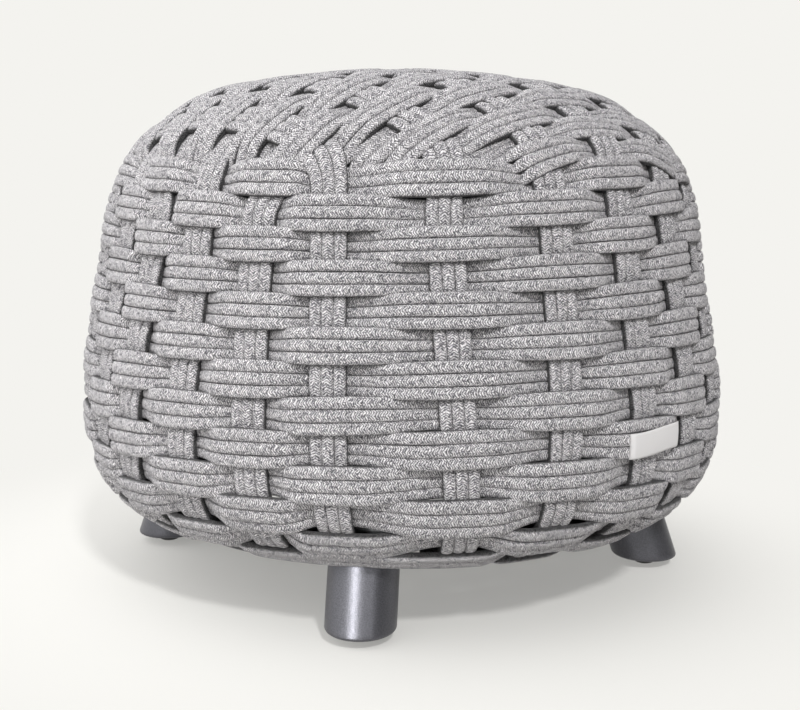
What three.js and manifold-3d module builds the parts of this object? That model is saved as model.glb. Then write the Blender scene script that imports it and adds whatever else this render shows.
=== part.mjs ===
// Outdoor pouf: a woven rope cover on a welded aluminium frame with four splayed legs.
// Millimetres, +Z up, floor at zero height, the front leg towards -Y.
import * as THREE from 'three';
import { mergeVertices } from 'three/addons/utils/BufferGeometryUtils.js';
import Module from 'manifold-3d';

const wasm = await Module();
wasm.setup();

// Whole object
const overallRadius = 300;
const overallHeight = 464;
const hemHeight = 61;
const clearance = 0.3;

// Woven cover
const coverThickness = 17;
const uprightCount = 26;
const uprightWidth = 27;
const uprightEdge = 3;
const rowCount = 12;
const rowDipDepth = 5;
const rowCrestDepth = 0.5;
const windowDepth = 1;
const windowGroove = 5;
const rowGroove = 8;
const seatBandPitch = 43;
const seatEdgeDip = 2;
const seatEndDip = 5;
const seatCornerDip = 8;
const hemNotchGap = 1;

// Frame
const frameTubeRadius = 10;
const ribRadius = 7;
const ribEndGap = 0.6;
const waistRodRadius = 6;
const hubRadius = 45;
const hubThickness = 8;
const sideRibCount = 8;
const seatRibCount = 4;

// Legs, end plates, inserts and glides
const legRadius = 29;
const legWall = 2.5;
const legEndHeight = 8;
const legEndRound = 2.5;
const legTopInset = 31;
const endPlateThickness = 4;
const insertRadius = 9;
const insertHeight = 12;
const spigotRadius = 7;
const studRadius = 4;
const studLength = 26;
const glideRadius = 12;
const glideFlatRadius = 7;
const glideSocketDepth = 4.5;

// Blank tab
const tabWidth = 60;
const tabHeight = 20;
const tabThickness = 1;

// Angles in degrees, counted from the front (-Y) towards +X
const splayAngle = 19;
const uprightStartAngle = 2;
const uprightSwayAngle = 5.2;
const uprightSwayPhaseAngle = 4.7;
const uprightSwayLobes = 3;
const seatWeaveAngle = 57;
const tabAngle = 50;

// The cover's outline from the hem's inner lip to the crown: shares of the overall radius,
// and of the height from the hem's lowest point to the crown
const outlineShares = [
  [0.74, 0.027],
  [0.77, 0.005],
  [0.81, 0],
  [0.92, 0.055],
  [0.983, 0.141],
  [1, 0.28],
  [0.98, 0.422],
  [0.947, 0.563],
  [0.91, 0.705],
  [0.83, 0.826],
  [0.71, 0.901],
  [0.627, 0.938],
  [0.333, 0.983],
  [0, 1],
  [-0.333, 0.983],
];
const outlineSteps = 2000;

// Heights as shares of the same height
const hemRingShare = 0.02;
const firstRowShare = 0.0225;
const lastRowShare = 0.7925;
const waistRingShare = 0.422;
const topRingShare = 0.846;
const tabShare = 0.25;

// Inside of the side cover from its top edge down, and of the seat from its rim up, likewise
const sideInsideShares = [0.64, 0.45, 0.27, 0.14, 0.06, hemRingShare];
const seatInsideShares = [topRingShare, 0.895, 0.94, 0.98];

// Places of the lines across one seat band that carry its relief
const seatLineShares = [0.1, 0.5, 0.9];

// Places of the points that a rib's route runs through, close together at its ends
const ribPathShares = [0, 0.03, 0.15, 0.3, 0.5, 0.7, 0.85, 0.97, 1];

// Facets
const seatSides = 40;
const columnsPerUpright = 4;
const hemSteps = 2;
const ringSteps = 32;
const tubeSides = 8;
const ribSteps = 6;
const legSides = 24;
const smallSides = 12;
const roundSteps = 3;
const tabSteps = 3;

const legNames = ['front', 'right', 'back', 'left'];
const degrees = Math.PI / 180;
const coverHeight = overallHeight - hemHeight;
const rowShare = (lastRowShare - firstRowShare) / rowCount;

const rope = new THREE.MeshStandardMaterial({ color: '#b4b3b3', roughness: 0.92, metalness: 0 });
const paint = new THREE.MeshStandardMaterial({ color: '#77787c', roughness: 0.42, metalness: 0.6 });
const steel = new THREE.MeshStandardMaterial({ color: '#b9bbbe', roughness: 0.35, metalness: 1 });
const black = new THREE.MeshStandardMaterial({ color: '#1c1c1d', roughness: 0.55, metalness: 0 });
const white = new THREE.MeshStandardMaterial({ color: '#e4e2dd', roughness: 0.85, metalness: 0 });

// The outline as evenly spaced points with the inward normal of each
function makeOutline() {
  const corners = outlineShares.map(([radiusShare, heightShare]) => new THREE.Vector3(
    radiusShare * overallRadius,
    0,
    hemHeight + heightShare * coverHeight,
  ));
  const curve = new THREE.CatmullRomCurve3(corners, false, 'centripetal');
  const points = [];
  for (let step = 0; step <= outlineSteps; step += 1) {
    const share = step / outlineSteps;
    const point = curve.getPointAt(share);
    const tangent = curve.getTangentAt(share);
    if (point.x >= 0) {
      points.push({ radius: point.x, height: point.z, inX: -tangent.z, inZ: tangent.x });
    }
  }
  const crown = points[points.length - 1];
  points.push({ radius: 0, height: crown.height, inX: 0, inZ: -1 });
  return points;
}

const outline = makeOutline();

function inward(point, distance) {
  return { radius: point.radius + point.inX * distance, height: point.height + point.inZ * distance };
}

// The outline's point at a height share, on the part of the outline above the hem
function outlineAt(heightShare) {
  const height = hemHeight + heightShare * coverHeight;
  const lowest = outline.reduce((best, point, index) => (point.height < outline[best].height ? index : best), 0);
  return outline.slice(lowest).find((point) => point.height >= height);
}

// The cover's inside face at a height
function insideAt(height) {
  const faces = outline.slice(outline.indexOf(outlineAt(firstRowShare)));
  return inward(faces.find((point) => inward(point, coverThickness).height >= height), coverThickness);
}

// The outline's height over a distance from the axis, on the part above the widest point
function heightOver(distance) {
  const widest = outline.reduce((best, point, index) => (point.radius > outline[best].radius ? index : best), 0);
  const upper = outline.slice(widest);
  const after = upper.findIndex((point) => point.radius <= distance);
  if (after <= 0) {
    return upper[0].height;
  }
  const outer = upper[after - 1];
  const inner = upper[after];
  const share = (outer.radius - distance) / (outer.radius - inner.radius);
  return outer.height + share * (inner.height - outer.height);
}

const tubeDepth = coverThickness + clearance + frameTubeRadius;
const bottomRingPoint = outlineAt(hemRingShare);
const topRingPoint = outlineAt(topRingShare);
const bottomRing = inward(bottomRingPoint, tubeDepth);
const topRing = inward(topRingPoint, tubeDepth);
const waistRing = inward(outlineAt(waistRingShare), tubeDepth + ribRadius + clearance + waistRodRadius);
const rimHeight = outlineAt(lastRowShare).height;
const legTopHeight = bottomRing.height - frameTubeRadius - clearance;
const legSplay = Math.tan(splayAngle * degrees) * (legTopHeight - legEndHeight);
const footCircleRadius = bottomRing.radius - legTopInset + legSplay;

// A point at an angle from the front, a distance from the axis and a height
function around(angle, radius, height) {
  return new THREE.Vector3(radius * Math.sin(angle), -radius * Math.cos(angle), height);
}

function namedMesh(name, geometry, material) {
  const mesh = new THREE.Mesh(geometry, material);
  mesh.name = name;
  return mesh;
}

function toManifold(geometry) {
  const bare = geometry.clone();
  bare.deleteAttribute('normal');
  bare.deleteAttribute('uv');
  const merged = mergeVertices(bare, clearance / 100);
  return new wasm.Manifold(new wasm.Mesh({
    numProp: 3,
    vertProperties: new Float32Array(merged.attributes.position.array),
    triVerts: new Uint32Array(merged.index.array),
  }));
}

function fromManifold(solid) {
  const mesh = solid.getMesh();
  const geometry = new THREE.BufferGeometry();
  geometry.setAttribute('position', new THREE.BufferAttribute(mesh.vertProperties, 3));
  geometry.setIndex(new THREE.BufferAttribute(mesh.triVerts, 1));
  return geometry;
}

// A turned solid about the Z axis from [radius, height] points in order
function turned(points, segments) {
  const profile = points.map(([radius, height]) => new THREE.Vector2(radius, height));
  return new THREE.LatheGeometry(profile, segments).rotateX(Math.PI / 2);
}

function tubeAlong(points, radius, sides, steps) {
  const section = new THREE.Shape();
  section.absarc(0, 0, radius, 0, 2 * Math.PI);
  return new THREE.ExtrudeGeometry(section, {
    curveSegments: sides / 2,
    steps,
    bevelEnabled: false,
    extrudePath: new THREE.CatmullRomCurve3(points, false, 'centripetal'),
  });
}

// A closed surface from columns of points, each column a closed loop, the columns a closed ring
function ringOfLoops(columns) {
  const loopLength = columns[0].length;
  const positions = columns.flat().flatMap((point) => [point.x, point.y, point.z]);
  const indices = [];
  columns.forEach((column, columnIndex) => {
    const here = columnIndex * loopLength;
    const next = ((columnIndex + 1) % columns.length) * loopLength;
    for (let index = 0; index < loopLength; index += 1) {
      const after = (index + 1) % loopLength;
      indices.push(here + index, next + index, next + after);
      indices.push(here + index, next + after, here + after);
    }
  });
  const geometry = new THREE.BufferGeometry();
  geometry.setAttribute('position', new THREE.Float32BufferAttribute(positions, 3));
  geometry.setIndex(indices);
  return geometry;
}

// The hand-set places of the upright bands: even steps with a slow sway
function uprightAngle(upright) {
  const even = uprightStartAngle + upright * 360 / uprightCount;
  const sway = Math.cos(uprightSwayLobes * (even + uprightSwayPhaseAngle) * degrees);
  return (even - uprightSwayAngle * sway) * degrees;
}

// How deep the woven side lies under its outline: an upright shows in the windows where it passes
// over a row, the row dips to both sides of the window, and it crests over the next upright
function sideDepth(upright, row, onUpright, inGroove) {
  if (inGroove) {
    return onUpright ? windowGroove : rowGroove;
  }
  const uprightIsOver = (upright + row) % 2 === 1;
  if (onUpright) {
    return uprightIsOver ? windowDepth : 0;
  }
  return uprightIsOver ? rowDipDepth : rowCrestDepth;
}

// The loop of one column of the side: up the weave outside, down the plain inside at even angles
function sideColumn(angle, upright, onUpright, insideAngle) {
  const loop = [];
  const firstRow = outlineAt(firstRowShare);
  const hemLength = outline.indexOf(firstRow);
  for (let step = 0; step < hemSteps; step += 1) {
    const point = outline[Math.round(step * hemLength / hemSteps)];
    loop.push(around(angle, point.radius, point.height));
  }
  loop.push(around(angle, firstRow.radius, firstRow.height));
  for (let row = 0; row < rowCount; row += 1) {
    const crest = outlineAt(firstRowShare + (row + 0.5) * rowShare);
    const crestPoint = inward(crest, sideDepth(upright, row, onUpright, false));
    loop.push(around(angle, crestPoint.radius, crestPoint.height));
    const groove = outlineAt(firstRowShare + (row + 1) * rowShare);
    const isTopEdge = row === rowCount - 1;
    const groovePoint = inward(groove, isTopEdge ? rowCrestDepth : sideDepth(upright, row, onUpright, true));
    loop.push(around(angle, groovePoint.radius, groovePoint.height));
  }
  const facetStretch = 1 / Math.cos(Math.PI / (uprightCount * columnsPerUpright));
  loop.push(around(insideAngle, insideAt(rimHeight).radius * facetStretch, rimHeight));
  sideInsideShares.forEach((heightShare) => {
    const point = inward(outlineAt(heightShare), coverThickness);
    loop.push(around(insideAngle, point.radius * facetStretch, point.height));
  });
  return loop;
}

function wovenSide() {
  const halfWidth = uprightWidth / 2 / overallRadius;
  const halfEdge = uprightEdge / 2 / overallRadius;
  const offsets = [-halfWidth - halfEdge, -halfWidth + halfEdge, halfWidth - halfEdge, halfWidth + halfEdge];
  const columnStep = 2 * Math.PI / (uprightCount * columnsPerUpright);
  const columns = [];
  for (let upright = 0; upright < uprightCount; upright += 1) {
    for (let column = 0; column < columnsPerUpright; column += 1) {
      const onUpright = column === 1 || column === 2;
      const insideAngle = (upright * columnsPerUpright + column) * columnStep;
      columns.push(sideColumn(uprightAngle(upright) + offsets[column], upright, onUpright, insideAngle));
    }
  }
  let side = toManifold(ringOfLoops(columns));
  for (let leg = 0; leg < legNames.length; leg += 1) {
    const notch = splayed(new THREE.CylinderGeometry(
      legRadius + hemNotchGap,
      legRadius + hemNotchGap,
      2 * legTopHeight,
      legSides,
    ).rotateX(Math.PI / 2));
    notch.translate(0, -footCircleRadius, 0).rotateZ(leg * Math.PI / 2);
    side = side.subtract(toManifold(notch));
  }
  return fromManifold(side);
}

// How deep the seat's weave lies under the outline at one line of one band each way
function seatDepth(alongLine, acrossLine) {
  const alongBand = Math.floor(alongLine / seatLineShares.length);
  const acrossBand = Math.floor(acrossLine / seatLineShares.length);
  const alongIsOver = (alongBand + acrossBand) % 2 === 0;
  const isMiddleAlong = alongLine % seatLineShares.length === 1;
  const isMiddleAcross = acrossLine % seatLineShares.length === 1;
  if (isMiddleAlong && isMiddleAcross) {
    return 0;
  }
  if (isMiddleAlong) {
    return alongIsOver ? seatEdgeDip : seatEndDip;
  }
  if (isMiddleAcross) {
    return alongIsOver ? seatEndDip : seatEdgeDip;
  }
  return seatCornerDip;
}

// A block whose top is the woven height field of the seat and whose underside is flat
function seatBlock() {
  const perBand = seatLineShares.length;
  const bandCount = 2 * Math.ceil(overallRadius / seatBandPitch);
  const lineCount = bandCount * perBand;
  const linePlace = (line) => {
    const band = Math.floor(line / perBand);
    return (band + seatLineShares[line % perBand] - bandCount / 2) * seatBandPitch;
  };
  const positions = [];
  for (const isTop of [true, false]) {
    for (let along = 0; along < lineCount; along += 1) {
      for (let across = 0; across < lineCount; across += 1) {
        const x = linePlace(along);
        const y = linePlace(across);
        const woven = heightOver(Math.hypot(x, y)) - seatDepth(along, across);
        positions.push(x, y, isTop ? woven : hemHeight);
      }
    }
  }
  const indices = [];
  const quad = (a, b, c, d) => indices.push(a, b, c, a, c, d);
  const at = (along, across) => along * lineCount + across;
  const under = lineCount * lineCount;
  for (let along = 0; along + 1 < lineCount; along += 1) {
    for (let across = 0; across + 1 < lineCount; across += 1) {
      const corners = [at(along, across), at(along + 1, across), at(along + 1, across + 1), at(along, across + 1)];
      quad(...corners);
      quad(...corners.map((corner) => corner + under).reverse());
    }
  }
  const last = lineCount - 1;
  for (let line = 0; line < last; line += 1) {
    quad(at(line, 0), at(line, 0) + under, at(line + 1, 0) + under, at(line + 1, 0));
    quad(at(line + 1, last), at(line + 1, last) + under, at(line, last) + under, at(line, last));
    quad(at(0, line + 1), at(0, line + 1) + under, at(0, line) + under, at(0, line));
    quad(at(last, line), at(last, line) + under, at(last, line + 1) + under, at(last, line + 1));
  }
  const geometry = new THREE.BufferGeometry();
  geometry.setAttribute('position', new THREE.Float32BufferAttribute(positions, 3));
  geometry.setIndex(indices);
  return geometry.rotateZ(seatWeaveAngle * degrees);
}

// The room that the seat's shell may fill: above its inside face and its level rim
function seatRoom() {
  const rim = rimHeight + clearance;
  const facetStretch = 1 / Math.cos(Math.PI / seatSides);
  const inside = [[insideAt(rim).radius * facetStretch, rim]];
  seatInsideShares.forEach((heightShare) => {
    const point = inward(outlineAt(heightShare), coverThickness);
    inside.push([point.radius * facetStretch, point.height]);
  });
  inside.push([0, overallHeight - coverThickness]);
  const over = overallHeight + coverThickness;
  return turned([...inside.reverse(), [overallRadius, rim], [overallRadius, over], [0, over]], seatSides);
}

function wovenSeat() {
  return fromManifold(toManifold(seatBlock()).intersect(toManifold(seatRoom())));
}

// Points along the frame tubes' middle line between two places on the outline, each end cut
// square where its whole face clears the piece that it meets by the gap
function framePath(fromPoint, toPoint, fromGap, toGap) {
  const run = outline.slice(outline.indexOf(fromPoint), outline.indexOf(toPoint) + 1);
  const reach = (point, end) => {
    const here = inward(point, tubeDepth);
    const there = inward(end, tubeDepth);
    return Math.abs((here.radius - there.radius) * point.inZ - (here.height - there.height) * point.inX);
  };
  const first = run.findIndex((point) => reach(point, fromPoint) >= fromGap);
  const last = run.findLastIndex((point) => reach(point, toPoint) >= toGap);
  const points = [];
  for (const share of ribPathShares) {
    const middle = inward(run[Math.round(first + share * (last - first))], tubeDepth);
    points.push(around(0, middle.radius, middle.height));
  }
  return points;
}

function ring(middle, tubeRadius) {
  return new THREE.TorusGeometry(middle.radius, tubeRadius, tubeSides, ringSteps).translate(0, 0, middle.height);
}

function sideRib() {
  const gap = frameTubeRadius + ribEndGap;
  return tubeAlong(framePath(bottomRingPoint, topRingPoint, gap, gap), ribRadius, tubeSides, ribSteps);
}

function seatRib() {
  const crown = outline[outline.length - 1];
  const path = framePath(topRingPoint, crown, frameTubeRadius + ribEndGap, hubRadius + ribEndGap);
  return tubeAlong(path, ribRadius, tubeSides, ribSteps);
}

function seatHub() {
  const edge = outline.find((point) => inward(point, tubeDepth).radius <= hubRadius && point.height > topRing.height);
  const middle = inward(edge, tubeDepth).height;
  return new THREE.CylinderGeometry(hubRadius, hubRadius, hubThickness, ringSteps).rotateX(Math.PI / 2)
    .translate(0, 0, middle);
}

// A straight frame tube along -Y from one distance to another
function lowerBeam(from, to) {
  const tube = new THREE.CylinderGeometry(frameTubeRadius, frameTubeRadius, to - from, tubeSides);
  return tube.translate(0, -(from + to) / 2, bottomRing.height);
}

// Tilts an upright solid outwards: level cuts stay level, and the tube stays round across its axis
function splayed(geometry) {
  const tan = Math.tan(splayAngle * degrees);
  const stretch = 1 / Math.cos(splayAngle * degrees);
  const matrix = new THREE.Matrix4().set(
    1, 0, 0, 0,
    0, stretch, tan, -tan * legEndHeight,
    0, 0, 1, 0,
    0, 0, 0, 1,
  );
  return geometry.applyMatrix4(matrix);
}

function legTube() {
  const inside = legRadius - legWall;
  const profile = [[inside, legEndHeight], [inside, legTopHeight], [legRadius, legTopHeight]];
  for (let step = 0; step <= roundSteps; step += 1) {
    const turn = step / roundSteps * Math.PI / 2;
    profile.push([
      legRadius - legEndRound * (1 - Math.cos(turn)),
      legEndHeight + legEndRound * (1 - Math.sin(turn)),
    ]);
  }
  profile.pop();
  profile.push([inside, legEndHeight]);
  return splayed(turned(profile.reverse(), legSides));
}

// A level plate inside the leg's end, bored straight up for the insert
function legEndPlate() {
  const outside = legRadius - legWall - clearance;
  const top = legEndHeight + endPlateThickness;
  const disc = splayed(turned([[0, legEndHeight], [outside, legEndHeight], [outside, top], [0, top]], legSides));
  const boreRadius = spigotRadius + clearance;
  const bore = new THREE.CylinderGeometry(boreRadius, boreRadius, 2 * top, smallSides).rotateX(Math.PI / 2)
    .translate(0, 0, top);
  return fromManifold(toManifold(disc).subtract(toManifold(bore)));
}

function legInsert() {
  const bore = studRadius + clearance;
  const shelf = legEndHeight + endPlateThickness + clearance;
  const profile = [
    [bore, legEndHeight],
    [spigotRadius, legEndHeight],
    [spigotRadius, shelf],
    [insertRadius, shelf],
    [insertRadius, shelf + insertHeight],
    [bore, shelf + insertHeight],
  ];
  return turned([...profile, profile[0]], smallSides);
}

function glidePad() {
  const top = legEndHeight - clearance;
  const socket = studRadius + clearance;
  const profile = [[0, 0]];
  for (let step = 0; step <= roundSteps; step += 1) {
    const turn = step / roundSteps * Math.PI / 2;
    profile.push([
      glideFlatRadius + (glideRadius - glideFlatRadius) * Math.sin(turn),
      top * (1 - Math.cos(turn)),
    ]);
  }
  profile.push([socket, top], [socket, top - glideSocketDepth], [0, top - glideSocketDepth]);
  return turned(profile, smallSides);
}

function glideStud() {
  const foot = legEndHeight - glideSocketDepth;
  return new THREE.CylinderGeometry(studRadius, studRadius, studLength, smallSides).rotateX(Math.PI / 2)
    .translate(0, 0, foot + studLength / 2);
}

// The blank tab: a thin strip bent round the cover's widest stretch
function sideTab() {
  const inside = overallRadius + clearance;
  const halfTurn = tabWidth / 2 / inside;
  const strip = new THREE.Shape();
  strip.absarc(0, 0, inside + tabThickness, -halfTurn, halfTurn, false);
  strip.absarc(0, 0, inside, halfTurn, -halfTurn, true);
  const bent = new THREE.ExtrudeGeometry(strip, { depth: tabHeight, bevelEnabled: false, curveSegments: tabSteps });
  const middle = hemHeight + tabShare * coverHeight;
  return bent.rotateZ(tabAngle * degrees - Math.PI / 2).translate(0, 0, middle - tabHeight / 2);
}

function coverGroup() {
  const cover = new THREE.Group();
  cover.add(namedMesh('woven_cover_side', wovenSide(), rope));
  cover.add(namedMesh('woven_cover_seat', wovenSeat(), rope));
  cover.add(namedMesh('side_tab', sideTab(), white));
  return cover;
}

function frameGroup() {
  const frame = new THREE.Group();
  frame.add(namedMesh('bottom_ring', ring(bottomRing, frameTubeRadius), paint));
  frame.add(namedMesh('waist_ring', ring(waistRing, waistRodRadius), paint));
  frame.add(namedMesh('top_ring', ring(topRing, frameTubeRadius), paint));
  frame.add(namedMesh('seat_hub', seatHub(), paint));
  for (let rib = 0; rib < sideRibCount; rib += 1) {
    const side = namedMesh(`side_rib_${rib + 1}`, sideRib(), paint);
    side.rotation.z = (rib + 0.5) * 2 * Math.PI / sideRibCount;
    frame.add(side);
  }
  for (let rib = 0; rib < seatRibCount; rib += 1) {
    const seat = namedMesh(`seat_rib_${rib + 1}`, seatRib(), paint);
    seat.rotation.z = rib * 2 * Math.PI / seatRibCount;
    frame.add(seat);
  }
  const ringInside = (bottomRing.radius - frameTubeRadius) * Math.cos(Math.PI / ringSteps);
  const reach = Math.sqrt((ringInside - clearance) ** 2 - frameTubeRadius ** 2);
  frame.add(namedMesh('lower_beam_long', lowerBeam(-reach, reach), paint));
  ['right', 'left'].forEach((name, index) => {
    const beam = namedMesh(`lower_beam_${name}`, lowerBeam(frameTubeRadius + clearance, reach), paint);
    beam.rotation.z = Math.PI / 2 + index * Math.PI;
    frame.add(beam);
  });
  return frame;
}

function legGroup(name) {
  const leg = new THREE.Group();
  leg.add(namedMesh(`leg_${name}`, legTube(), paint));
  leg.add(namedMesh(`leg_end_plate_${name}`, legEndPlate(), paint));
  leg.add(namedMesh(`leg_insert_${name}`, legInsert(), steel));
  leg.add(namedMesh(`glide_stud_${name}`, glideStud(), steel));
  leg.add(namedMesh(`glide_pad_${name}`, glidePad(), black));
  leg.children.forEach((piece) => piece.position.setY(-footCircleRadius));
  return leg;
}

const pouf = new THREE.Group();
pouf.add(coverGroup());
pouf.add(frameGroup());
legNames.forEach((name, index) => {
  const leg = legGroup(name);
  leg.rotation.z = index * Math.PI / 2;
  pouf.add(leg);
});

export default pouf;
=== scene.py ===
import math
import bpy
import numpy as np
from mathutils import Matrix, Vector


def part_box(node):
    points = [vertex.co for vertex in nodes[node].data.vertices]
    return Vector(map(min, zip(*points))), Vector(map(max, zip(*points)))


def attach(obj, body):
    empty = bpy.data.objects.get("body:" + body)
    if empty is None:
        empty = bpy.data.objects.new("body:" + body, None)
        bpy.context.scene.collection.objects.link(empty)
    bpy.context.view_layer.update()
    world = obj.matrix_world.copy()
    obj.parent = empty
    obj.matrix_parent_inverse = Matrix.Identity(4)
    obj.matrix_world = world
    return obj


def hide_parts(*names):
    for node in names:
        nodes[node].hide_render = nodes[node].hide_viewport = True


# Garden pouf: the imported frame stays, and the woven cover, legs and tubes get their full form here.
# Metres, floor at zero, the front leg towards -Y; azimuths count from -Y towards +X.
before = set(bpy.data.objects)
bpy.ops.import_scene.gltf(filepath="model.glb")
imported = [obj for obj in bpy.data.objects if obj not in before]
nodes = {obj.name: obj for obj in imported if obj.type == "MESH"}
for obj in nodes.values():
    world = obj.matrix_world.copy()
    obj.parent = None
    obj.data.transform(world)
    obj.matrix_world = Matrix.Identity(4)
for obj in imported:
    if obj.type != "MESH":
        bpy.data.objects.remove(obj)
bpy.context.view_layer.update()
twoPi = 2 * math.pi

camera = {
    "focal": 52.31,  # mm
    "sensor": 36,  # mm wide
    "distance": 1.1229,  # level distance from the pouf's axis
    "height": 0.3476,
    "azimuth": 7.525,  # degrees, as the next three
    "pitch": 7.70,  # downwards
    "yaw": 0.097,
    "roll": 0.474,
    "reach": 100,
}

light = {
    "background": "#f4f3ef",
    "worldLevel": 0.55,  # the surround's strength before it leans
    "sideLean": 2.09,  # how much brighter the left is, as a share of that
    "leanAzimuth": -80,  # degrees
    "upLean": 1.06,  # the same for straight above
    "sunShare": 0.38,  # what the sun gives the floor, where 1 shows a colour as written
    "sunShift": (-0.45, 0.95),  # how far its shadow falls along X and Y for each unit of height
    "sunSize": 6,  # degrees across, for the shadow's soft edge
    # the soft boxes' azimuth in degrees, height of the middle, width and height, and watts
    "boxes": {"box_left": (-15, 0.9, (0.34, 1.5), 66), "box_right": (38, 1.0, (0.22, 1.5), 7)},
    "boxDistance": 2.6,
    "boxAim": (2.4, 0.05),  # what they face: so far ahead of them, and so high
}


def linear(hexColour):
    # sRGB hex to linear: the standard two-part curve
    parts = np.array([int(hexColour[i:i + 2], 16) for i in (1, 3, 5)]) / 255
    low = parts / 12.92
    high = ((parts + 0.055) / 1.055) ** 2.4
    return (*np.where(parts <= 0.04045, low, high), 1.0)


def addNode(tree, kind, settings, *inputs, **named):
    # one shader node with its settings; an input, by order or by name, is a value, or what to link to it
    node = tree.nodes.new("ShaderNode" + kind)
    for name, value in settings.items():
        setattr(node, name, value)
    wanted = [(node.inputs[place], value) for place, value in enumerate(inputs)]
    wanted += [(node.inputs[name.replace("_", " ")], value) for name, value in named.items()]
    for socket, value in wanted:
        if isinstance(value, bpy.types.Node):
            value = value.outputs[0]
        if isinstance(value, bpy.types.NodeSocket):
            tree.links.new(value, socket)
        else:
            socket.default_value = value
    return node


def newMaterial(name):
    material = bpy.data.materials.new(name)
    material.use_nodes = True
    material.node_tree.nodes.clear()
    return material, material.node_tree


def shadeSurface(tree, finish, colour, tone, height, **more):
    # what the material of every piece ends with: its colour times a tone, the relief, the shader with its
    # fixed values, and the output
    tint = addNode(tree, "VectorMath", {"operation": "SCALE"}, colour, Scale=tone)
    strength, distance = finish["relief"]
    bump = addNode(tree, "Bump", {}, Strength=strength, Distance=distance, Height=height)
    inputs = {"Base_Color": tint, "Normal": bump, **finish["shader"], **more}
    shader = addNode(tree, "BsdfPrincipled", {}, **inputs)
    addNode(tree, "OutputMaterial", {}, shader)


def addObject(name, data):
    thing = bpy.data.objects.new(name, data)
    bpy.context.scene.collection.objects.link(thing)
    return thing


def placeCamera():
    data = bpy.data.cameras.new("camera")
    data.lens = camera["focal"]
    data.sensor_width = camera["sensor"]
    data.clip_end = camera["reach"]
    view = addObject("camera", data)
    azimuth, distance = math.radians(camera["azimuth"]), camera["distance"]
    spot = (distance * math.sin(azimuth), -distance * math.cos(azimuth), camera["height"])
    turn = Matrix.Rotation(azimuth + math.radians(camera["yaw"]), 4, "Z")
    tilt = Matrix.Rotation(math.pi / 2 - math.radians(camera["pitch"]), 4, "X")
    roll = Matrix.Rotation(math.radians(camera["roll"]), 4, "Z")
    view.matrix_world = Matrix.Translation(spot) @ turn @ tilt @ roll
    bpy.context.scene.camera = view


def placeWorld():
    # a soft surround, brighter to the left and above; what the camera sees of it is the plain backdrop
    world = bpy.data.worlds.new("studio surround")
    bpy.context.scene.world = world
    world.use_nodes = True
    tree = world.node_tree
    tree.nodes.clear()
    direction = addNode(tree, "TexCoord", {}).outputs["Generated"]
    lean, much, level = math.radians(light["leanAzimuth"]), light["sideLean"], light["worldLevel"]
    towards = (much * math.sin(lean), -much * math.cos(lean), light["upLean"])
    side = addNode(tree, "VectorMath", {"operation": "DOT_PRODUCT"}, direction, towards)
    strength = addNode(tree, "Math", {"operation": "MULTIPLY_ADD"}, side.outputs["Value"], level, level)
    strength = addNode(tree, "Math", {"operation": "MAXIMUM"}, strength, 0.0)
    soft = addNode(tree, "Background", {}, (1, 1, 1, 1), strength)
    plain = addNode(tree, "Background", {}, linear(light["background"]), 1.0)
    rays = addNode(tree, "LightPath", {})
    mixed = addNode(tree, "MixShader", {}, rays.outputs["Is Camera Ray"], soft, plain)
    addNode(tree, "OutputWorld", {}, mixed)


def placeLamps():
    # the sun: its strength is set from the share it gives the level floor
    east, north = light["sunShift"]
    steep = 1 / math.sqrt(east ** 2 + north ** 2 + 1)
    data = bpy.data.lights.new("sun", "SUN")
    data.energy = light["sunShare"] * math.pi / steep
    data.angle = math.radians(light["sunSize"])
    sun = addObject("sun", data)
    sun.rotation_euler = (math.atan(math.hypot(east, north)), 0, math.atan2(-east, north))
    # two tall soft boxes give the legs their upright highlights; matt surfaces don't get their light
    distance, (ahead, aim) = light["boxDistance"], light["boxAim"]
    for name, (azimuth, height, size, watts) in light["boxes"].items():
        data = bpy.data.lights.new(name, "AREA")
        data.shape = "RECTANGLE"
        data.size, data.size_y = size
        data.energy = watts
        box = addObject(name, data)
        angle = math.radians(azimuth)
        box.location = (distance * math.sin(angle), -distance * math.cos(angle), height)
        box.visible_diffuse = False
        box.rotation_euler = (math.radians(90) - math.atan2(height - aim, ahead), 0, angle)


floorFinish = {
    "paint": "#e7e6e2",
    "glow": 0.34,  # share of the backdrop's colour that the camera sees without shadow
    "fade": (0.23, 0.60),  # how far from the middle the floor starts and ends turning into the backdrop
    "bounce": "#cccbc8",  # the floor as the pouf sees it
    "grain": 900.0,  # paper fibres of about 1 mm; the real ones are too fine to show
    "relief": (0.04, 0.0002),  # strength and distance, in every finish
    "half": 14,  # it reaches past the camera's horizon
    "lines": 57,
}


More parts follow.
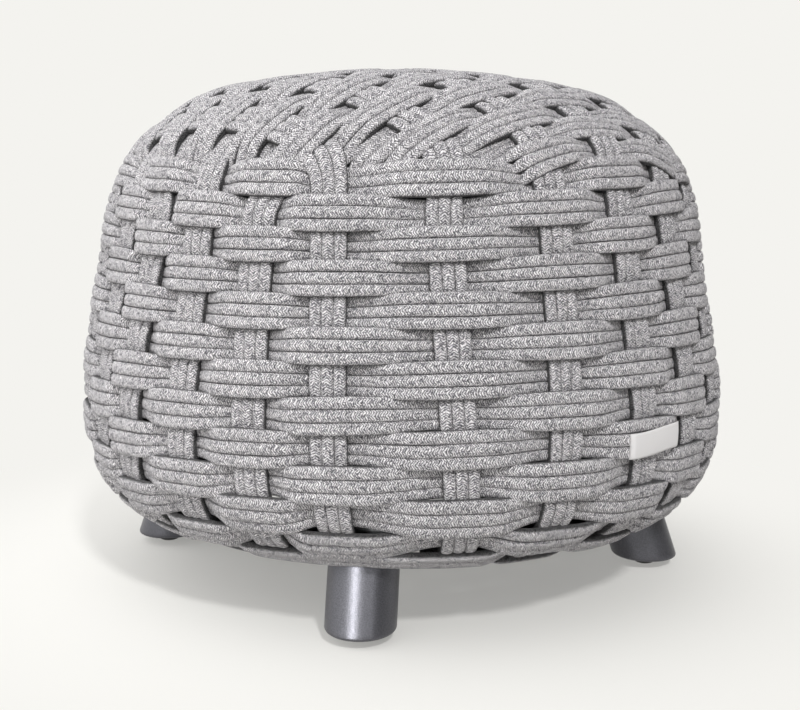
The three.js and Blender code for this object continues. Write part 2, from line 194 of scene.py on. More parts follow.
def placeFloor():
    # a flat paper floor, matt, that fades into the backdrop so that no horizon shows
    material, tree = newMaterial("paper_floor_matt")
    background = linear(light["background"])
    place = addNode(tree, "TexCoord", {}).outputs["Object"]
    grain = addNode(tree, "TexNoise", {}, Vector=place, Scale=floorFinish["grain"])
    strength, distance = floorFinish["relief"]
    bump = addNode(tree, "Bump", {}, Strength=strength, Distance=distance, Height=grain)
    paint = addNode(tree, "BsdfDiffuse", {}, Color=linear(floorFinish["paint"]), Normal=bump)
    glow = addNode(tree, "Emission", {}, background, 1.0)
    away = addNode(tree, "VectorMath", {"operation": "LENGTH"}, place).outputs["Value"]
    smoothly = {"interpolation_type": "SMOOTHSTEP"}
    fade = addNode(tree, "MapRange", smoothly, away, *floorFinish["fade"], floorFinish["glow"], 1.0)
    lit = addNode(tree, "MixShader", {}, fade, paint, glow)
    bounce = addNode(tree, "BsdfDiffuse", {}, linear(floorFinish["bounce"]))
    rays = addNode(tree, "LightPath", {}).outputs
    seen = addNode(tree, "Math", {"operation": "MAXIMUM"}, rays["Is Camera Ray"], rays["Is Glossy Ray"])
    seen = addNode(tree, "Math", {"operation": "MAXIMUM"}, seen, rays["Is Transmission Ray"])
    both = addNode(tree, "MixShader", {}, seen, bounce, lit)
    addNode(tree, "OutputMaterial", {}, both)
    lines = np.linspace(-floorFinish["half"], floorFinish["half"], floorFinish["lines"])
    x, y = np.meshgrid(lines, lines, indexing="ij")
    points = np.stack([x, y, np.zeros_like(x)], -1)
    floor = meshFromGrid("studio_floor", [points], [None], material, closedAround=False)


def gridFaces(rows, columns, closedAlong, closedAround, start):
    # the quads of a grid of points, wrapped where it closes, and the row and column of each quad's corners
    i = np.arange(rows if closedAlong else rows - 1)
    j = np.arange(columns if closedAround else columns - 1)
    i, j = (part.ravel() for part in np.meshgrid(i, j, indexing="ij"))
    above, beside = (i + 1) % rows, (j + 1) % columns
    corners = ((i, j), (i, beside), (above, beside), (above, j))
    quads = np.stack([row * columns + column for row, column in corners], -1)
    steps = ((i, j), (i, j + 1), (i + 1, j + 1), (i + 1, j))
    return quads + start, np.stack([np.stack(pair, -1) for pair in steps], 1)


def meshFromGrid(name, grids, marks, material, closedAlong=False, closedAround=True, capped=True):
    # joins grids of points (along, around, xyz) into one mesh. marks holds for each grid its UV places
    # (along, around), one more where the grid closes; open ends of a tube get a flat cap
    quads, uvs, points, caps, start = [], [], [], [], 0
    for grid, mark in zip(grids, marks):
        rows, columns = grid.shape[:2]
        faces, steps = gridFaces(rows, columns, closedAlong, closedAround, start)
        quads.append(faces)
        if mark is None:
            uvs.append(np.zeros(faces.shape + (2,)))
        else:
            uvs.append(np.stack([mark[0][steps[..., 0]], mark[1][steps[..., 1]]], -1))
        if closedAround and capped and not closedAlong:
            ring = np.arange(columns)
            caps += [ring + start, (ring + (rows - 1) * columns + start)[::-1]]
        points.append(grid.reshape(-1, 3))
        start += rows * columns
    points = np.concatenate(points)
    quads = np.concatenate(quads)
    uvs = np.concatenate(uvs).reshape(-1, 2)
    mesh = bpy.data.meshes.new(name)
    mesh.vertices.add(len(points))
    mesh.vertices.foreach_set("co", points.astype(np.float32).ravel())
    loops = np.concatenate([quads.ravel()] + caps)
    sizes = np.concatenate([np.full(len(quads), 4), [len(cap) for cap in caps]]).astype(int)
    mesh.loops.add(len(loops))
    mesh.loops.foreach_set("vertex_index", loops.astype(np.int32))
    mesh.polygons.add(len(sizes))
    starts = np.concatenate([[0], np.cumsum(sizes)[:-1]])
    mesh.polygons.foreach_set("loop_start", starts.astype(np.int32))
    mesh.update(calc_edges=True)
    layer = mesh.uv_layers.new(name="UVMap")
    full = np.zeros((len(loops), 2), np.float32)
    full[:len(uvs)] = uvs
    layer.data.foreach_set("uv", full.ravel())
    mesh.polygons.foreach_set("use_smooth", np.arange(len(sizes)) < len(quads))
    mesh.materials.append(material)
    mesh.validate()
    return addObject(name, mesh)


def finishPiece(piece, body, slot, *replaced):
    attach(piece, body)
    if replaced:
        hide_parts(*replaced)


ropeFinish = {
    "yarn": 0.0019,  # from one yarn to the next along the cord; really about 1.5 mm, too fine to show
    "column": 0.0045,  # one V across the cord
    "columns": 6,  # round the cord
    "slant": 1.0,  # how far a V's arms run back, in yarns
    "stray": 1.6,  # how unevenly the yarns lie, in yarns along the cord
    "strayLength": 0.0030,
    "shades": ((0.0, "#605e64"), (0.26, "#918f94"), (0.44, "#ccc9cc"), (0.70, "#ebe8ea"), (1.0, "#fbf8f9")),
    "fleck": 0.0009,  # across one fleck; the real ones are filaments of 0.3 mm, too fine to show
    "yarnShare": 0.40,  # how much of the shade is one tone for a piece of yarn; the rest is flecks
    "paintedYarnShade": (0.02, 1.08),  # tone of the painted shade in the fine line between two yarns, and of the painted light on a yarn's middle
    "paintedFlankShade": 0.12,  # tone of the painted shade on the cord's flanks, where shade falls between two cords
    "flank": (0.22, 0.64),  # cosines of the angle from the cord's outer middle between which it comes back
    "patch": 14.0,  # scale of the slow change of tone along the pouf, about 7 cm
    "patchTone": (0.92, 1.08),
    "relief": (0.7, 0.0010),
    "shader": {"Roughness": 0.9, "Specular_IOR_Level": 0.25, "Sheen_Weight": 0.1, "Sheen_Roughness": 0.6},
}


def ropeMaterial():
    # polyolefin outdoor rope, braided: yarns meet in V shapes round the cord. Light, grey and dark
    # filaments are mixed, so it looks flecked from near and an even grey from afar; it is matt, with painted
    # shade as dark fine lines between its yarns and darker ones between the cords
    material, tree = newMaterial("outdoor_rope_braided")
    place = addNode(tree, "TexCoord", {})
    whole, lengthwise = place.outputs["Object"], place.outputs["UV"]
    size = (1 / ropeFinish["yarn"], 1 / ropeFinish["column"], 1)
    cells = addNode(tree, "Mapping", {}, Vector=lengthwise, Scale=size)
    parts = addNode(tree, "SeparateXYZ", {}, cells)
    along, around = parts.outputs[0], parts.outputs[1]
    # the yarn's number counts along the cord, with a slant that grows to both sides of the V's middle
    across = addNode(tree, "Math", {"operation": "FRACT"}, around)
    fromMiddle = addNode(tree, "Math", {"operation": "SUBTRACT"}, across, 0.5)
    away = addNode(tree, "Math", {"operation": "ABSOLUTE"}, fromMiddle)
    stray = addNode(tree, "TexNoise", {}, Vector=whole, Scale=1 / ropeFinish["strayLength"])
    along = addNode(tree, "Math", {"operation": "MULTIPLY_ADD"}, stray, ropeFinish["stray"], along)
    yarn = addNode(tree, "Math", {"operation": "MULTIPLY_ADD"}, away, 2 * ropeFinish["slant"], along)
    # each yarn is round: half a sine over its width, and low at its two edges
    inYarn = addNode(tree, "Math", {"operation": "PINGPONG"}, yarn, 0.5)
    angle = addNode(tree, "Math", {"operation": "MULTIPLY"}, inYarn, math.pi)
    height = addNode(tree, "Math", {"operation": "SINE"}, angle)
    # a number by chance for each quarter of a V and one for each fleck pick the tone
    quarter = addNode(tree, "Math", {"operation": "MULTIPLY"}, around, 4.0)
    row = addNode(tree, "Math", {"operation": "FLOOR"}, quarter)
    step = addNode(tree, "Math", {"operation": "FLOOR"}, yarn)
    cell = addNode(tree, "CombineXYZ", {}, step, row)
    chance = addNode(tree, "TexWhiteNoise", {"noise_dimensions": "2D"}, Vector=cell)
    flecks = addNode(tree, "TexVoronoi", {}, Vector=whole, Scale=1 / ropeFinish["fleck"])
    spread = addNode(tree, "SeparateXYZ", {}, flecks.outputs["Color"])
    share = ropeFinish["yarnShare"]
    shade = addNode(tree, "Math", {"operation": "MULTIPLY"}, chance, share)
    shade = addNode(tree, "Math", {"operation": "MULTIPLY_ADD"}, spread, 1 - share, shade)
    tones = addNode(tree, "ValToRGB", {}, shade)
    stops = tones.color_ramp.elements
    while len(stops) < len(ropeFinish["shades"]):
        stops.new(0.5)
    for stop, (position, colour) in zip(stops, ropeFinish["shades"]):
        stop.position = position
        stop.color = linear(colour)
    # the tone changes slowly along the pouf, as hand-worked rope's does, and painted shade darkens each
    # groove between two yarns
    patch = addNode(tree, "TexNoise", {}, Vector=whole, Scale=ropeFinish["patch"], Detail=3.0)
    slow = addNode(tree, "MapRange", {}, patch, 0.0, 1.0, *ropeFinish["patchTone"])
    yarnShade = addNode(tree, "MapRange", {}, height, 0.0, 1.0, *ropeFinish["paintedYarnShade"])
    tone = addNode(tree, "Math", {"operation": "MULTIPLY"}, slow, yarnShade)
    # painted shade darkens the cord's flanks between two cords; around the cord the outer middle lies at
    # whole turns of the columns
    turn = addNode(tree, "Math", {"operation": "MULTIPLY"}, around, twoPi / ropeFinish["columns"])
    outwards = addNode(tree, "Math", {"operation": "COSINE"}, turn)
    flankShade = addNode(tree, "MapRange", {}, outwards, *ropeFinish["flank"], ropeFinish["paintedFlankShade"], 1.0)
    tone = addNode(tree, "Math", {"operation": "MULTIPLY"}, tone, flankShade)
    shadeSurface(tree, ropeFinish, tones, tone, height)
    return material


paintFinish = {
    "leg": "#5e5e63",
    "frame": "#7e7e80",
    "flake": 1100.0,  # metal flakes of about 1 mm; the real ones are too fine to show
    "flakeTone": (0.80, 1.20),
    "peel": 420.0,  # the orange peel's waves, about 2.5 mm apart
    "rough": (0.34, 0.42),
    "relief": (0.30, 0.0003),
    "shader": {"Metallic": 0.75},
}


def paintMaterial(name, colour):
    # powder-coated aluminium, silver grey with a fine metal flake: satin, with a faint orange peel
    material, tree = newMaterial(name)
    place = addNode(tree, "TexCoord", {}).outputs["Object"]
    flake = addNode(tree, "TexNoise", {}, Vector=place, Scale=paintFinish["flake"], Detail=1.0)
    peel = addNode(tree, "TexNoise", {}, Vector=place, Scale=paintFinish["peel"], Detail=2.0)
    spread = addNode(tree, "MapRange", {}, flake, 0.3, 0.7, *paintFinish["flakeTone"])
    rough = addNode(tree, "MapRange", {}, peel, 0.0, 1.0, *paintFinish["rough"])
    both = addNode(tree, "Math", {"operation": "MULTIPLY_ADD"}, flake, 0.8, peel)
    shadeSurface(tree, paintFinish, linear(colour)[:3], spread, both, Roughness=rough)
    return material


steelFinish = {
    "colour": "#b9bbbe",
    "rings": 420.0,  # turning marks, drawn coarser than the real ones so that they show
    "cloud": 300.0,
    "cloudTone": (0.85, 1.1),
    "relief": (0.25, 0.0002),
    "shader": {"Metallic": 1.0, "Roughness": 0.32},
}


def steelMaterial():
    # zinc-plated steel, turned: bright, with fine rings across the axis
    material, tree = newMaterial("zinc_plated_steel_turned")
    place = addNode(tree, "TexCoord", {}).outputs["Object"]
    rings = addNode(
        tree, "TexWave", {"bands_direction": "Z"}, Vector=place, Scale=steelFinish["rings"],
        Distortion=1.2, Detail=2.0)
    cloudy = addNode(tree, "TexNoise", {}, Vector=place, Scale=steelFinish["cloud"])
    tone = addNode(tree, "MapRange", {}, cloudy, 0.0, 1.0, *steelFinish["cloudTone"])
    shadeSurface(tree, steelFinish, linear(steelFinish["colour"])[:3], tone, rings.outputs["Fac"])
    return material


glideFinish = {
    "colour": "#191919",
    "grit": 1800.0,  # the mould's eroded texture, about 0.5 mm
    "scuff": 260.0,
    "wornHeight": 0.003,  # only the lowest 3 mm are worn
    "worn": 6.0,  # how much paler the scuffs are
    "relief": (0.25, 0.0002),
    "shader": {"Roughness": 0.48, "IOR": 1.51},
}


def glideMaterial():
    # black polyethylene, moulded: low gloss, with a fine eroded texture and pale scuffs where it rubs
    material, tree = newMaterial("polyethylene_moulded_black")
    place = addNode(tree, "TexCoord", {}).outputs["Object"]
    grit = addNode(tree, "TexNoise", {}, Vector=place, Scale=glideFinish["grit"], Detail=2.0)
    scuff = addNode(tree, "TexNoise", {}, Vector=place, Scale=glideFinish["scuff"], Detail=4.0)
    height = addNode(tree, "SeparateXYZ", {}, place).outputs[2]
    near = addNode(tree, "MapRange", {}, height, 0.0, glideFinish["wornHeight"], glideFinish["worn"], 0.0)
    worn = addNode(tree, "Math", {"operation": "MULTIPLY_ADD"}, near, scuff, 1.0)
    shadeSurface(tree, glideFinish, linear(glideFinish["colour"])[:3], worn, grit)
    return material


tapeFinish = {
    "colour": "#dddbdb",
    "weave": 0.0016,  # one over and one under; really 0.8 mm, too fine to show
    "tone": (0.90, 1.04),
    "relief": (0.4, 0.0002),
    "shader": {"Roughness": 0.8, "Specular_IOR_Level": 0.3},
}


def tapeMaterial():
    # polyester tape, woven white: matt, with a fine plain weave
    material, tree = newMaterial("polyester_tape_woven_white")
    place = addNode(tree, "TexCoord", {}).outputs["UV"]
    turns = addNode(tree, "VectorMath", {"operation": "SCALE"}, place, Scale=twoPi / tapeFinish["weave"])
    waves = addNode(tree, "VectorMath", {"operation": "SINE"}, turns)
    parts = addNode(tree, "SeparateXYZ", {}, waves)
    plain = addNode(tree, "Math", {"operation": "MULTIPLY"}, parts.outputs[0], parts.outputs[1])
    tone = addNode(tree, "MapRange", {}, plain, -1.0, 1.0, *tapeFinish["tone"])
    shadeSurface(tree, tapeFinish, linear(tapeFinish["colour"])[:3], tone, plain)
    return material


coverShape = {
    "radius": 0.300,
    "hemHeight": 0.061,
    "height": 0.403,  # from the hem's lowest point to the crown
    # where the side is a little flatter than round: azimuth and height of its middle, half widths, depth
    "flatter": (math.radians(97), 0.270, 0.45, 0.075, 0.0058),
    # shares of the radius and of the height, from the hem's inner lip to the crown and a bit past it
    "shares": [
        (0.74, 0.027), (0.77, 0.005), (0.81, 0), (0.92, 0.055), (0.983, 0.141), (1, 0.28), (0.98, 0.422),
        (0.947, 0.563), (0.91, 0.705), (0.83, 0.826), (0.71, 0.901), (0.627, 0.938), (0.333, 0.983), (0, 1),
        (-0.333, 0.983)],
    "curveSteps": 120,  # from one corner to the next
    "evenSteps": 1500,
}


def blended(p, q, low, high, t):
    # p where t is low, q where it is high, and straight between
    return (high - t) / (high - low) * p + (t - low) / (high - low) * q


def makeOutline():
    # a smooth curve through the corners: for each stretch the knots lie the square root of the corner
    # distance apart, and the point is the three-step blend of its four corners
    corners = np.array(coverShape["shares"]) * [coverShape["radius"], coverShape["height"]]
    corners += [0, coverShape["hemHeight"]]
    corners = np.concatenate([[2 * corners[0] - corners[1]], corners, [2 * corners[-1] - corners[-2]]])
    pieces = []
    for a, b, c, d in zip(corners, corners[1:], corners[2:], corners[3:]):
        gaps = [math.sqrt(math.dist(p, q)) for p, q in ((a, b), (b, c), (c, d))]
        k0, k1, k2, k3 = np.concatenate([[0], np.cumsum(gaps)])
        t = np.linspace(k1, k2, coverShape["curveSteps"], endpoint=False)[:, None]
        first, second, third = blended(a, b, k0, k1, t), blended(b, c, k1, k2, t), blended(c, d, k2, k3, t)
        first, second = blended(first, second, k0, k2, t), blended(second, third, k1, k3, t)
        pieces.append(blended(first, second, k1, k2, t))
    line = np.concatenate(pieces)
    line = line[line[:, 0] >= 0][::-1]  # from the crown outwards and down
    line = np.concatenate([[[0, line[0, 1]]], line])
    arc = np.concatenate([[0], np.cumsum(np.hypot(*np.diff(line, axis=0).T))])
    even = np.linspace(0, arc[-1], coverShape["evenSteps"])
    radius, height = np.interp(even, arc, line[:, 0]), np.interp(even, arc, line[:, 1])
    outR, outZ = np.gradient(radius, even), np.gradient(height, even)
    size = np.hypot(outR, outZ)
    return {"arc": even, "radius": radius, "height": height, "outR": outR / size, "outZ": outZ / size}


outline = makeOutline()


def arcAtHeight(height):
    # the arc from the crown at which the outline passes a height, above the hem
    lowest = int(np.argmin(outline["height"]))
    return np.interp(-height, -outline["height"][:lowest], outline["arc"][:lowest])


def smooth(share):
    # from 0 to 1 with level ends: three squares less two cubes
    share = np.clip(share, 0, 1)
    return share * share * (3 - 2 * share)


def differences(points, closed):
    if closed:
        return np.roll(points, -1, 0) - np.roll(points, 1, 0)
    return np.gradient(points, axis=0)


def unit(vectors):
    return vectors / np.maximum(np.linalg.norm(vectors, axis=-1, keepdims=True), 1e-12)


def polar(azimuth, arc):
    # a spot of the map from its azimuth and its arc from the crown
    return np.stack([arc * np.sin(azimuth), -arc * np.cos(azimuth)], -1)


def onCover(spots, depth):
    # the point under a spot of the map. The map is flat: a spot's distance from its middle is the arc from
    # the crown down the outline, and its direction is the azimuth. Gives the points, their outward normals
    # and unit directions down the outline and around the axis, and their arcs, radii and azimuths
    arc = np.hypot(spots[..., 0], spots[..., 1])
    azimuth = np.arctan2(spots[..., 0], -spots[..., 1])
    radius, height, outR, outZ = (
        np.interp(arc, outline["arc"], outline[key]) for key in ("radius", "height", "outR", "outZ"))
    sine, cosine = np.sin(azimuth), -np.cos(azimuth)
    normal = np.stack([-outZ * sine, -outZ * cosine, outR], -1)
    down = np.stack([outR * sine, outR * cosine, outZ], -1)
    around = np.stack([-cosine, sine, np.zeros_like(sine)], -1)
    middle, level, wide, tall, most = coverShape["flatter"]
    dent = most * np.exp(-((azimuth - middle) / wide) ** 2 - ((height - level) / tall) ** 2)
    point = np.stack([radius * sine, radius * cosine, height], -1) - normal * (depth + dent)[..., None]
    return point, normal, down, around, arc, radius, azimuth


def sideways(spots, offset, closed):
    # moves spots of the map sideways from their path by a real distance on the cover: the step down the
    # outline counts as it is, and the one around the axis grows by the arc over the radius
    point, normal, down, around, arc, radius, azimuth = onCover(spots, np.zeros(len(spots)))
    along = unit(differences(point, closed))
    across = np.cross(along, normal)
    stretch = np.divide(arc, radius, out=np.ones_like(arc), where=radius > 1e-4)
    move = np.stack([np.sum(across * down, -1), np.sum(across * around, -1) * stretch], -1) * offset[:, None]
    outward = polar(azimuth, 1.0)
    turned = np.stack([np.cos(azimuth), np.sin(azimuth)], -1)
    return spots + outward * move[:, :1] + turned * move[:, 1:]


# the weave's plan; pairs are for on top and underneath, at each kind of crossing
weave = {
    "rows": 12,
    "firstRowHeight": 0.0830,
    "rowStep": 0.02586,
    "hemRows": 2,  # rows that go on under the hem to its inner lip
    "hemStep": 0.0272,
    "uprights": 26,
    "uprightStart": 2.0,  # degrees
    "uprightSway": (5.2, 4.7, 3),  # degrees of sway, its phase, and its lobes round the pouf
    # uprights that the photograph shows: degrees at the middle row, and how far each leans for each row up
    "seenUprights": {
        -4: (-50.4, 0.40), -3: (-40.1, 0.50), -2: (-27.7, 0.03), -1: (-15.5, -0.12), 0: (-3.3, -0.18),
        1: (15.2, -0.33), 2: (32.4, 0.0), 3: (47.6, -0.26), 4: (60.8, -0.18)},
    # depth of a cord's middle under the outline
    "depths": {
        "row": (0.0026, 0.0130), "upright": (0.0064, 0.0110),
        "weft": (0.0034, 0.0110), "warp": (0.0042, 0.0109)},
    # one cord's width
    "pitches": {
        "row": (0.0097, 0.0084), "upright": (0.0094, 0.0086),
        "weft": (0.0113, 0.0102), "warp": (0.0105, 0.0100)},
    # how long a cord keeps its depth to both sides of a crossing, and how long its width
    "levelRuns": {
        "row": (0.021, 0.012), "upright": (0.005, 0.004), "weft": (0.022, 0.008), "warp": (0.005, 0.004)},
    "evenRuns": {
        "row": (0.010, 0.010), "upright": (0.004, 0.004), "weft": (0.013, 0.013), "warp": (0.004, 0.004)},
    "looseEnd": (0.03, 0.02),  # past a band's end its last depth holds on: how far off, and for how long
    "sunkEnd": (0.002, 0.004),  # the same where the end goes down under the others
    "stepShare": 0.67,  # most of the way between two crossings that the level runs may take
    "press": {"row": 0.52, "upright": 0.52, "weft": 0.54, "warp": 0.53},  # a cord's half width for its pitch
    "cordHalf": 0.0039,  # half the cord's thickness
    "boxPower": 0.72,  # 1 is a round section, less is squarer
    "step": 0.0056,  # along a cord
    "sides": 12,
    "seatTurn": 7.525,  # the seat's lines are given in the camera's frame, in degrees
    "warpTurn": -44.0,
    "warpPlaces": (-0.238, -0.1726, -0.100, -0.026, 0.054, 0.128, 0.200, 0.250),
    "warpEnds": -6,  # what the numbers of a warp's two uprights sum to
    "weftTurn": 42.0,
    "wefts": (-12, 11),
    "weftMiddle": -0.011,
    "weftStep": 0.0272,
    "weftClosing": (0.00031, 0.00034),  # how much closer each next weft lies, below and above number 0
    "weftEnds": {5: (-1, 8), 2: (-2, 9), -1: (-3, 10), -2: (-4, 11), -5: (-5, 12)},  # wefts that go on down
    "weftOverhang": 0.012,
    "rimArc": 0.281,
    "pathStep": 0.002,
    "bend": (18, 3, 0.042),  # spots averaged at the rim, how often, and how near to it
    "turnZone": 0.05,  # how far below the rim an upright starts to turn towards its seat line
    "legZone": math.radians(10.5),  # how near an upright passes a leg and ends there
    "legGap": 0.19,  # radians from a leg's middle to the ends of the innermost hem row
    "lipGap": 0.006,  # from the outline's end to the uprights' ends
    "legTuck": 0.004,  # how far under the row above an upright ends at a leg
    "weftUnder": 0.010,  # how far past the rim a weft has gone under everything
    "seatFade": (0.02, 0.03),  # how far past the rim the wefts' spreading ends, and over what length
    "tips": (0.45, 0.85),  # how large the last two rings are at a cord's open end
    "cutTips": (0.4, 0.8),  # the same where the hem row stops at a leg
    "driftWave": 0.25,
    "drifts": (0.0006, 0.0002, 0.0003, 0.002),  # a band's and a cord's sideways, a cord's in depth and timing
    "middleLift": 0.0003,  # how much higher the middle cord lies
}
random = np.random.default_rng(26)


def wander(count, size, length, closed):
    # slow random drift along a path, about size at most: three sines of random phase, each shorter and
    # lower than the one before, that come round whole on a closed path
    t = np.linspace(0, twoPi, count, endpoint=not closed)
    turns = length / weave["driftWave"]
    if closed:
        turns = max(1, round(turns))
    total = 0
    for k in (1, 2, 3):
        total = total + random.uniform(0.4, 1) * np.sin(k * turns * t + random.uniform(0, twoPi)) / k
    return size * total / 1.6


def uprightAzimuth(index, rowsUp=0.0):
    # an upright that the photograph shows has its own place; the others sway about even steps
    if index in weave["seenUprights"]:
        middle, lean = weave["seenUprights"][index]
        return np.radians(middle + lean * rowsUp)
    size, phase, lobes = weave["uprightSway"]
    even = weave["uprightStart"] + index * 360 / weave["uprights"]
    return np.radians(even - size * math.cos(math.radians(lobes * (even + phase))))


rowSag = {
    "middleRow": 5.5,
    # millimetres up: a level part, one that grows with the row's number and one with its square, and what
    # the azimuth's sine and cosine add, each with its change for each row
    "level": (-2.2, 5.97, -0.23),
    "sine": (6.26, -0.73),
    "cosine": (5.67, -6.78),
    "most": 12,
    "fade": (0.1, 0.9, 1.0),  # azimuth of the photograph's middle, where the fading starts, and its length
    "ends": ((0, 1, 2, 3, 9, 10, 11), (0.35, 0.6, 0.85, 1.0, 1.0, 0.9, 0.6)),  # less for the end rows
}


def rowDrift(row, azimuth):
    # how far a row strays from level as it was woven: at the front the rows sag towards the left and bow
    # up in the middle; a smooth fit to the photograph there, fading out towards the back
    up = row - rowSag["middleRow"]
    level, sine, cosine = rowSag["level"], rowSag["sine"], rowSag["cosine"]
    sag = level[0] + level[1] * up + level[2] * up ** 2
    sag = sag + (sine[0] + sine[1] * up) * np.sin(azimuth) + (cosine[0] + cosine[1] * up) * np.cos(azimuth)
    middle, start, length = rowSag["fade"]
    turn = np.abs((azimuth - middle + math.pi) % twoPi - math.pi)
    fade = 1 - smooth((turn - start) / length)
    return 0.001 * np.clip(sag * fade * np.interp(row, *rowSag["ends"]), -rowSag["most"], rowSag["most"])


def rowArc(row, azimuth=0.0):
    # rows lie level steps apart on the side; below the lowest they go on round the hem by even arcs
    level = weave["firstRowHeight"] + weave["rowStep"] * max(row, 0)
    arc = arcAtHeight(level + rowDrift(max(row, 0), azimuth))
    return arc + (weave["hemStep"] * -row if row < 0 else 0.0)


def seatLine(turn, place):
    # a straight line of the seat's map: its direction, and its closest spot to the middle
    angle = math.radians(turn + weave["seatTurn"])
    direction = np.array([math.cos(angle), math.sin(angle)])
    normal = np.array([-direction[1], direction[0]])
    return direction, normal * place


def weftPlace(index):
    # wefts lie closer together towards the edges
    count, closing = abs(index), weave["weftClosing"][1 if index > 0 else 0]
    return weave["weftMiddle"] - math.copysign(weave["weftStep"] * count - closing * count ** 2, index)


def legDistance(azimuth):
    # from an azimuth to the nearest of the four legs
    return min(abs((azimuth - quarter * math.pi / 2 + math.pi) % twoPi - math.pi) for quarter in range(4))


def uprightEnd(index, meet):
    # the spots of one upright from the hem's lip up to the rim. Over the last rows it turns to the
    # azimuth at which its seat line meets the rim
    azimuth = uprightAzimuth(index)
    lip = outline["arc"][-1] - weave["lipGap"]
    if legDistance(azimuth) < weave["legZone"]:
        lip = rowArc(-1) + weave["legTuck"]  # it meets a leg and ends under the row above
    arc = np.arange(lip, weave["rimArc"], -weave["pathStep"])
    height = np.interp(arc, outline["arc"], outline["height"])
    rowsUp = (height - weave["firstRowHeight"]) / weave["rowStep"] - rowSag["middleRow"]
    azimuth = uprightAzimuth(index, rowsUp)
    turn = (meet - azimuth + math.pi) % twoPi - math.pi
    share = smooth((weave["rimArc"] + weave["turnZone"] - arc) / weave["turnZone"])
    return polar(azimuth + turn * share, arc)


def seatBand(turn, place, ends, overhang=0.0):
    # a band over the seat: from upright ends[0] along the straight line of the map to ends[1], with the
    # bends at the rim rounded. With no uprights the line runs on past the rim by the overhang
    direction, nearest = seatLine(turn, place)
    reach = weave["rimArc"] + overhang
    half = math.sqrt(reach ** 2 - place ** 2)
    t = np.arange(-half, half, weave["pathStep"])
    line = nearest + direction * t[:, None]
    if ends is None:
        return line
    first, last = (uprightEnd(index, math.atan2(x, -y)) for index, (x, y) in zip(ends, (line[0], line[-1])))
    whole = np.concatenate([first, line[3:-3], last[::-1]])
    count, times, zone = weave["bend"]
    for _ in range(times):  # a moving average, at full strength only near the rim
        before, after = np.repeat(whole[:1], count // 2, 0), np.repeat(whole[-1:], count // 2 - 1, 0)
        padded = np.concatenate([before, whole, after])
        window = np.ones(count) / count
        blurred = np.stack([np.convolve(padded[:, axis], window, "valid") for axis in (0, 1)], -1)
        arc = np.hypot(whole[:, 0], whole[:, 1])
        near = np.exp(-((arc - weave["rimArc"]) / zone) ** 4)[:, None]
        whole = whole + (blurred - whole) * near
    return whole


def evenSteps(spots, closed):
    # spreads the spots evenly along the real path on the cover; gives them, their distances and the length
    point = onCover(spots, np.zeros(len(spots)))[0]
    if closed:
        point = np.concatenate([point, point[:1]])
        spots = np.concatenate([spots, spots[:1]])
    run = np.concatenate([[0], np.cumsum(np.linalg.norm(np.diff(point, axis=0), axis=1))])
    count = max(8, round(run[-1] / weave["step"]))
    wanted = np.linspace(0, run[-1], count, endpoint=not closed)
    return np.stack([np.interp(wanted, run, spots[:, axis]) for axis in (0, 1)], -1), wanted, run[-1]


def newBand(kind, index, path, ends=None):
    # a band as a dictionary: what it is, the uprights at its ends, its spots in the map, how far along it
    # each lies, and the crossings it will meet
    closed = kind == "row"
    band = {"kind": kind, "index": index, "closed": closed, "ends": ends, "events": []}
    band["spots"], band["run"], band["length"] = evenSteps(path, closed)
    return band


def makeBands():
    azimuth = np.linspace(0, twoPi, 720, endpoint=False)
    rows = range(-weave["hemRows"], weave["rows"])
    bands = [newBand("row", row, polar(azimuth, rowArc(row, azimuth))) for row in rows]
    for index, place in enumerate(weave["warpPlaces"]):
        ends = (weave["warpEnds"] - index, index)
        bands.append(newBand("warp", index, seatBand(weave["warpTurn"], place, ends), ends))
    for index in range(weave["wefts"][0], weave["wefts"][1] + 1):
        ends = weave["weftEnds"].get(index)
        path = seatBand(weave["weftTurn"], weftPlace(index), ends, weave["weftOverhang"])
        bands.append(newBand("weft", index, path, ends))
    return bands


def crossings(first, second):
    # where two paths of the map cross: all pairs of their segments at once, each solved as two lines
    p, r = first[:-1], np.diff(first, axis=0)
    q, s = second[:-1], np.diff(second, axis=0)
    cross = r[:, None, 0] * s[None, :, 1] - r[:, None, 1] * s[None, :, 0]
    gap = q[None] - p[:, None]
    cross = np.where(np.abs(cross) < 1e-15, 1e-15, cross)
    t = (gap[..., 0] * s[None, :, 1] - gap[..., 1] * s[None, :, 0]) / cross
    u = (gap[..., 0] * r[:, None, 1] - gap[..., 1] * r[:, None, 0]) / cross
    i, j = np.nonzero((t >= 0) & (t < 1) & (u >= 0) & (u < 1))
    return i + t[i, j], j + u[i, j]


def addEvent(band, at, kind, isOver):
    step = band["length"] / (len(band["spots"]) if band["closed"] else len(band["spots"]) - 1)
    band["events"].append((at * step, kind, isOver))


def meetBands(bands):
    # finds every crossing and who is on top there, by the parity that the photograph shows
    rows, warps, wefts = (
        [band for band in bands if band["kind"] == kind] for kind in ("row", "warp", "weft"))
    for band in warps + wefts:
        if band["ends"] is None:
            continue
        for row in rows:
            loop = np.concatenate([row["spots"], row["spots"][:1]])
            for at, rowAt in zip(*crossings(band["spots"], loop)):
                upright = band["ends"][0] if at < len(band["spots"]) / 2 else band["ends"][1]
                isOver = (upright + row["index"]) % 2 == 1
                cut = legDistance(uprightAzimuth(upright)) < weave["legZone"] and row["index"] < 0
                addEvent(band, at, "upright", isOver and not cut)
                addEvent(row, rowAt, "row", not isOver or cut)
    for warp in warps:
        for weft in wefts:
            for at, weftAt in zip(*crossings(warp["spots"], weft["spots"])):
                spot = weft["spots"][int(weftAt)]
                if weft["ends"] is None and math.hypot(*spot) > weave["rimArc"] + weave["weftUnder"]:
                    continue
                isOver = (warp["index"] + weft["index"]) % 2 == 0
                addEvent(warp, at, "warp", isOver)
                addEvent(weft, weftAt, "weft", not isOver)


